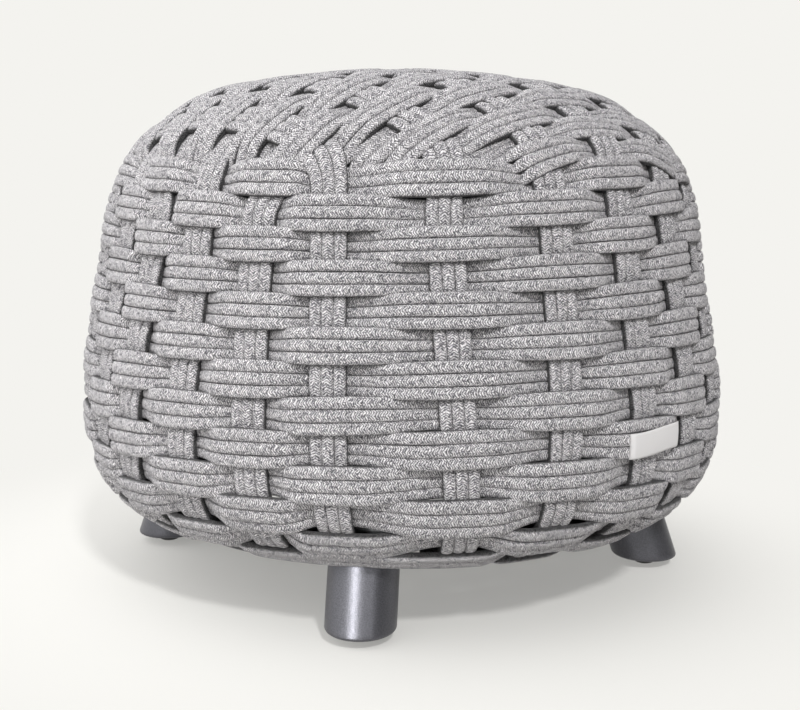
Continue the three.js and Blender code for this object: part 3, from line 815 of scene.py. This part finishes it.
def profile(band, run, table, flats, ending=None):
    # a value along the band, from the table's pair for each kind of crossing: the first where the band is
    # on top and the second where it is not. It is level near each crossing, with a smooth step between
    events = sorted(band["events"])
    places = np.array([place for place, _, _ in events])
    values = np.array([table[kind][0 if isOver else 1] for _, kind, isOver in events])
    level = np.array([flats[kind][0 if isOver else 1] for _, kind, isOver in events])
    if band["closed"]:
        places = np.concatenate([places[-2:] - band["length"], places, places[:2] + band["length"]])
        values = np.concatenate([values[-2:], values, values[:2]])
        level = np.concatenate([level[-2:], level, level[:2]])
    else:
        first, last = (values[0], values[-1]) if ending is None else (ending, ending)
        past, held = weave["looseEnd"] if ending is None else weave["sunkEnd"]
        places = np.concatenate([[-past], places, [band["length"] + past]])
        values = np.concatenate([[first], values, [last]])
        level = np.concatenate([[held], level, [held]])
    # where two level runs would meet, both are shortened until a third of the way is left for the step
    room = np.diff(places)
    both = level[:-1] + level[1:]
    shorter = np.minimum(1, weave["stepShare"] * room / both)
    before = level * np.concatenate([[1], shorter])
    after = level * np.concatenate([shorter, [1]])
    knots = np.stack([places - before, places + after], -1).ravel()
    levels = np.repeat(values, 2)
    at = np.clip(np.searchsorted(knots, run) - 1, 0, len(knots) - 2)
    share = (run - knots[at]) / np.maximum(knots[at + 1] - knots[at], 1e-9)
    return levels[at] + (levels[at + 1] - levels[at]) * smooth(share)


def boxed(value):
    # a sine or cosine to the box power, with its sign
    return np.sign(value) * np.abs(value) ** weave["boxPower"]


def tipSizes(count, last, nextToLast):
    # how large each ring along a cord is: the two at each open end are smaller, so that the tip is round
    fromEnd = np.minimum(np.arange(count), np.arange(count)[::-1])
    return np.interp(fromEnd, [0, 1, 2], [last, nextToLast, 1.0])


def cordGrid(spots, depth, halfWidth, halfHeight, closed):
    # the surface of one cord along spots of the map: a rounded box section, its point at angle a being the
    # middle plus the normal times height times cos(a) and the side times width times sin(a), both to the
    # box power; open ends shrink to a rounded tip. Also gives the UV places along and around
    middle, normal = onCover(spots, depth)[:2]
    along = unit(differences(middle, closed))
    normal = unit(normal - along * np.sum(normal * along, -1, keepdims=True))
    side = np.cross(along, normal)
    turn = np.arange(weave["sides"]) * twoPi / weave["sides"]
    up, out = boxed(np.cos(turn)), boxed(np.sin(turn))
    if not closed:
        shrink = tipSizes(len(spots), *weave["tips"])
        halfWidth, halfHeight = halfWidth * shrink, halfHeight * shrink
    high = normal[:, None] * (halfHeight[:, None] * up)[..., None]
    wide = side[:, None] * (halfWidth[:, None] * out)[..., None]
    grid = middle[:, None] + high + wide
    step = np.linalg.norm(np.diff(middle, axis=0), axis=1)
    lengths = np.concatenate([[0], np.cumsum(step)])
    if closed:
        lengths = np.concatenate([lengths, [lengths[-1] + np.linalg.norm(middle[0] - middle[-1])]])
        lengths *= round(lengths[-1] / ropeFinish["yarn"]) * ropeFinish["yarn"] / lengths[-1]  # whole yarns
    girth = np.arange(weave["sides"] + 1) * ropeFinish["columns"] * ropeFinish["column"] / weave["sides"]
    return grid, lengths, girth


def bandRoom(band):
    # how much wider the gap between a band's two neighbours is than usual, for each spot of its path: its
    # cords spread or press together by that, so that no slit opens between the bands
    spots, index = band["spots"], band["index"]
    if band["kind"] == "row" and index > -weave["hemRows"]:
        azimuth = np.arctan2(spots[:, 0], -spots[:, 1])
        top = weave["rows"] - 1
        between = rowArc(index - 1, azimuth) - rowArc(min(index + 1, top), azimuth)
        return between / (2 if index < top else 1) / weave["rowStep"]
    if band["kind"] == "weft":
        step = weftPlace(index) - weftPlace(index + 1)
        across = seatLine(weave["weftTurn"], 1.0)[1] * step / 2
        upper, lower = (onCover(place, np.zeros(len(spots)))[0] for place in (spots + across, spots - across))
        near = np.linalg.norm(upper - lower, axis=-1)
        past, length = weave["seatFade"]
        onSeat = smooth((weave["rimArc"] + past - np.hypot(spots[:, 0], spots[:, 1])) / length)
        return 1 + (near / weave["weftStep"] - 1) * onSeat
    return np.ones(len(spots))


def cordsOfBand(band):
    # the three cords of a band, each with its own small drift in place, depth and timing
    grids, marks = [], []
    run, closed, length = band["run"], band["closed"], band["length"]
    ending = weave["depths"]["weft"][1] if band["kind"] == "weft" and band["ends"] is None else None
    bandDrift, cordDrift, depthDrift, timing = weave["drifts"]
    drift = wander(len(run), bandDrift, length, closed)
    pitch = profile(band, run, weave["pitches"], weave["evenRuns"]) * bandRoom(band)
    halfHeight = np.full(len(run), weave["cordHalf"])
    for cord in (-1, 0, 1):
        own = drift + wander(len(run), cordDrift, length, closed)
        late = random.uniform(-timing, timing)
        depth = profile(band, run + late, weave["depths"], weave["levelRuns"], ending)
        depth = depth + wander(len(run), depthDrift, length, closed)
        depth = depth - (weave["middleLift"] if cord == 0 else 0)
        spots = sideways(band["spots"], pitch * cord + own, closed)
        halfWidth = pitch * weave["press"][band["kind"]]
        grid, lengths, girth = cordGrid(spots, depth, halfWidth, halfHeight, closed)
        grids.append(grid)
        yarns, turns = random.integers(400), random.integers(50)  # so that no two cords show the same flecks
        marks.append((lengths + yarns * ropeFinish["yarn"], girth + turns * girth[-1]))
    return grids, marks


def cutAtLegs(grids, marks):
    # the innermost hem row stops at each leg: its loops are cut into four runs between the legs
    cutGrids, cutMarks = [], []
    for grid, mark in zip(grids, marks):
        middle = grid.mean(1)
        azimuth = np.arctan2(middle[:, 0], -middle[:, 1]) % twoPi
        for quarter in range(4):
            low = quarter * math.pi / 2 + weave["legGap"]
            high = (quarter + 1) * math.pi / 2 - weave["legGap"]
            keep = np.nonzero((azimuth > low) & (azimuth < high))[0]
            run = grid[keep]
            centre = run.mean(1, keepdims=True)
            shrink = tipSizes(len(keep), *weave["cutTips"])[:, None, None]
            cutGrids.append(centre + (run - centre) * shrink)
            cutMarks.append((mark[0][keep], mark[1]))
    return cutGrids, cutMarks


def weaveCover(rope):
    bands = makeBands()
    meetBands(bands)
    names = {"row": "side_row", "warp": "seat_warp", "weft": "seat_weft"}
    firsts = {"row": -weave["hemRows"], "warp": 0, "weft": weave["wefts"][0]}
    for band in bands:
        kind = band["kind"]
        name = f"{names[kind]}_{band['index'] - firsts[kind] + 1:02d}"
        grids, marks = cordsOfBand(band)
        closed = band["closed"]
        if kind == "row" and band["index"] == firsts["row"]:
            grids, marks = cutAtLegs(grids, marks)
            closed = False
        piece = meshFromGrid(name, grids, marks, rope, closedAlong=closed)
        standsFor = ["woven_cover_side"] if kind == "row" or band["ends"] else []
        standsFor += ["woven_cover_seat"] if kind != "row" else []
        finishPiece(piece, "pouf_body", "rope", *standsFor)
    print("cover woven:", len(bands), "bands,", sum(len(band["events"]) for band in bands) // 2, "crossings")


leg = {
    "radius": 0.029,
    "wall": 0.0025,
    "splay": math.radians(19.0),
    "endHeight": 0.008,
    "topHeight": 0.08147,
    "endRound": 0.0030,
    "lip": 0.0003,  # the small bevel inside the lower edge
    "circle": 0.23839,  # from the axis to the glide
    "sides": 96,
    "plate": 0.004,
    "plateHole": 0.0073,
    "plateRound": 0.0007,
    "plateEdge": 0.0009,  # from the flat underside to the rim
    "plateGap": 0.0003,
    "plateRise": 0.00005,  # its underside over the tube's end
    "plateBevel": (0.0085, 0.0002),  # round the hole: its outer radius, and its height at the hole
}


def turnedGrid(profilePoints, sides):
    # a profile of radius and height carried round the Z axis
    turn = np.arange(sides) * twoPi / sides
    radius, height = profilePoints[:, 0], profilePoints[:, 1]
    x = radius[:, None] * np.cos(turn)
    y = radius[:, None] * np.sin(turn)
    return np.stack([x, y, np.repeat(height[:, None], sides, 1)], -1)


def splayed(points):
    # level cuts stay level: y is stretched across the leg's axis and slides outwards below
    out = points.copy()
    slid = math.tan(leg["splay"]) * (points[..., 2] - leg["endHeight"])
    out[..., 1] = points[..., 1] / math.cos(leg["splay"]) + slid
    return out


def onLeg(points, index):
    # moves a leg's piece from the axis to its foot circle and round to its quarter
    out = points - [0, leg["circle"], 0]
    angle = index * math.pi / 2
    c, s = math.cos(angle), math.sin(angle)
    x, y = out[..., 0] * c - out[..., 1] * s, out[..., 0] * s + out[..., 1] * c
    return np.stack([x, y, out[..., 2]], -1)


def roundCorner(fromAngle, toAngle, centre, size, steps):
    # an arc of a profile, by its angles in degrees
    turn = np.linspace(math.radians(fromAngle), math.radians(toAngle), steps)
    return np.stack([centre[0] + size * np.cos(turn), centre[1] + size * np.sin(turn)], -1)


def tubeProfile():
    # down the outside, round the lower edge, and up the inside, closed at the top rim
    outer, low, top, edge, lip = (leg[key] for key in ("radius", "endHeight", "topHeight", "endRound", "lip"))
    inner = outer - leg["wall"]
    outside = np.stack([np.full(30, outer), np.linspace(top, low + edge, 30)], -1)
    corner = roundCorner(0, -90, (outer - edge, low + edge), edge, 8)[1:]
    bevel = np.array([[inner + lip, low], [inner, low + lip]])
    inside = np.stack([np.full(20, inner), np.linspace(low + 0.002, top, 20)], -1)
    return np.concatenate([outside, corner, bevel, inside, outside[:1]])


def plateProfile():
    # a flat disc inside the tube's end with a round lower rim, and a bevelled hole for the stud
    hole, low, size = leg["plateHole"], leg["endHeight"], leg["plateRound"]
    rim = leg["radius"] - leg["wall"] - leg["plateGap"]
    bevel, rise = leg["plateBevel"]
    start, top = [[hole, low + rise]], low + leg["plate"]
    flat = np.linspace(bevel, rim - leg["plateEdge"], 10)
    flat = np.stack([flat, np.full(10, low + leg["plateRise"])], -1)
    corner = roundCorner(-90, 0, (rim - size, low + size), size, 5)
    return np.concatenate([start, flat, corner, [[rim, top]], [[hole, top]], start])


glide = {
    "radius": 0.012,
    "flat": 0.0055,
    "top": 0.0077,
    "socket": 0.0043,  # its radius
    "socketFloor": 0.0032,
    "rimRound": 0.0008,
    "rimHeight": 0.0012,
    "axis": 0.0001,  # the first and last points lie just off the axis
    "sides": 64,
}


def glideProfile():
    # a flat foot, a quarter ellipse up to the flange, a small round at its rim, and the stud's socket
    flat, wide, top, size = glide["flat"], glide["radius"], glide["top"], glide["rimRound"]
    turn = np.linspace(0, math.pi / 2, 16)
    foot = np.stack([np.linspace(glide["axis"], flat, 5)[:-1], np.zeros(4)], -1)
    rise = (top - glide["rimHeight"]) * (1 - np.cos(turn))
    dome = np.stack([flat + (wide - flat) * np.sin(turn), rise], -1)
    rim = roundCorner(0, 90, (wide - size, top - size), size, 6)
    socket, floor = glide["socket"], glide["socketFloor"]
    hole = [[socket, top], [socket, floor], [glide["axis"], floor]]
    return np.concatenate([foot, dome, rim, hole])


def makeLegs(paint, plastic):
    tube, plate, pad = tubeProfile(), plateProfile(), glideProfile()
    for index, name in enumerate(("front", "right", "back", "left")):
        grid = onLeg(splayed(turnedGrid(tube, leg["sides"])), index)
        piece = meshFromGrid(f"leg_tube_{name}", [grid[:, ::-1]], [None], paint, capped=False)
        finishPiece(piece, "pouf_body", "leg_paint", f"leg_{name}")
        grid = onLeg(splayed(turnedGrid(plate, leg["sides"])), index)
        piece = meshFromGrid(f"end_plate_{name}", [grid], [None], paint, capped=False)
        finishPiece(piece, "pouf_body", "leg_paint", f"leg_end_plate_{name}")
        grid = onLeg(turnedGrid(pad, glide["sides"]), index)
        piece = meshFromGrid(f"glide_{name}", [grid], [None], plastic, capped=False)
        finishPiece(piece, f"glide_{name}", "glide_plastic", f"glide_pad_{name}")
    print("legs, end plates and glides made")


hoop = {
    "tubes": {"bottom_ring": 0.010, "waist_ring": 0.006, "top_ring": 0.010},
    "drawn": 0.985,  # of the tube's radius, so that nothing touches the ribs
    "steps": 240,
    "sides": 24,
    "bead": (2.2, 0.015, 0.02),  # the weld: its azimuth, its half length in radians, and how far it stands up
}


def hoopGrid(radius, height, tube):
    # a torus as rings across its path, thicker at the weld by a bell curve: at angle t round the tube the
    # point is the middle plus the radius times cos(t) along one normal of the path and sin(t) the other
    angle = np.linspace(0, twoPi, hoop["steps"], endpoint=False)
    middle = np.stack([radius * np.sin(angle), -radius * np.cos(angle), np.full_like(angle, height)], -1)
    at, half, much = hoop["bead"]
    size = tube * hoop["drawn"] * (1 + much * np.exp(-((angle - at) / half) ** 2))
    along = unit(differences(middle, True))
    slanted = np.array([0.31, 0.21, 0.93])  # no part of the path runs along it
    first = unit(np.cross(along, slanted))
    second = np.cross(along, first)
    turn = np.arange(hoop["sides"])[:, None] * twoPi / hoop["sides"]
    return middle[:, None] + size[:, None, None] * (
        first[:, None] * np.cos(turn) + second[:, None] * np.sin(turn))


def makeFrame(paint, steel):
    # the rings are welded hoops; the other tubes keep their solids and get the finish
    for name, tube in hoop["tubes"].items():
        low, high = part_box(name)
        grid = hoopGrid(high.x - tube, (low.z + high.z) / 2, tube)
        piece = meshFromGrid(f"hoop_{name}", [grid], [None], paint, closedAlong=True)
        finishPiece(piece, "pouf_body", "frame_paint", name)
    painted = ("side_rib", "seat_rib", "lower_beam", "seat_hub")
    plated = ("leg_insert", "glide_stud")
    for name, node in nodes.items():
        if name.startswith(painted + plated):
            node.data.materials.clear()
            node.data.materials.append(paint if name.startswith(painted) else steel)
    print("frame dressed")


tab = {
    "width": 0.062,
    "height": 0.020,
    "thickness": 0.0009,
    "azimuth": math.radians(49.3),
    "middle": 0.1600,  # its height above the floor
    "lift": 0.0028,  # over the cover's outline
    "tilt": 0.0022,
    "bow": 0.0006,
    "tuck": (0.42, 0.08, 0.0016),  # where its short edges start to turn in, over what share, and how far
    "wave": (0.0006, 5),
    "steps": (60, 12),
}


def makeTab(material):
    # a blank woven tape tab, lying on the crest of a row: a thin sheet with a soft lengthwise bow, a
    # slight wave, and its two short edges tucked in
    u, v = (np.linspace(-0.5, 0.5, count) for count in tab["steps"])
    a, b = np.meshgrid(u, v, indexing="ij")
    start, share, much = tab["tuck"]
    around = coverShape["radius"]
    radius = around + tab["lift"] + tab["bow"] * np.cos(math.pi * b)
    radius = radius - much * smooth((np.abs(a) - start) / share)
    azimuth = tab["azimuth"] + a * tab["width"] / around
    wave, times = tab["wave"]
    height = tab["middle"] + b * tab["height"] + tab["tilt"] * a + wave * np.sin(times * a)
    outer = np.stack([radius * np.sin(azimuth), -radius * np.cos(azimuth), height], -1)
    inner = outer * [1 - tab["thickness"] / around, 1 - tab["thickness"] / around, 1]
    loop = np.concatenate([outer, inner[:, ::-1]], 1)
    lengths = (u + 0.5) * tab["width"]
    rise = (v + 0.5) * tab["height"]
    back = tab["height"] + 0.001
    girth = np.concatenate([rise, back + rise, [2 * back]])
    piece = meshFromGrid("side_tab_blank", [loop], [(lengths, girth)], material)
    finishPiece(piece, "pouf_body", "tab", "side_tab")
    print("tab made")


placeCamera()
placeWorld()
placeLamps()
placeFloor()
print("camera, light and floor placed")
weaveCover(ropeMaterial())
makeLegs(paintMaterial("powder_coat_satin_leg", paintFinish["leg"]), glideMaterial())
makeFrame(paintMaterial("powder_coat_satin_frame", paintFinish["frame"]), steelMaterial())
makeTab(tapeMaterial())

bpy.context.scene.view_settings.view_transform = "Standard"
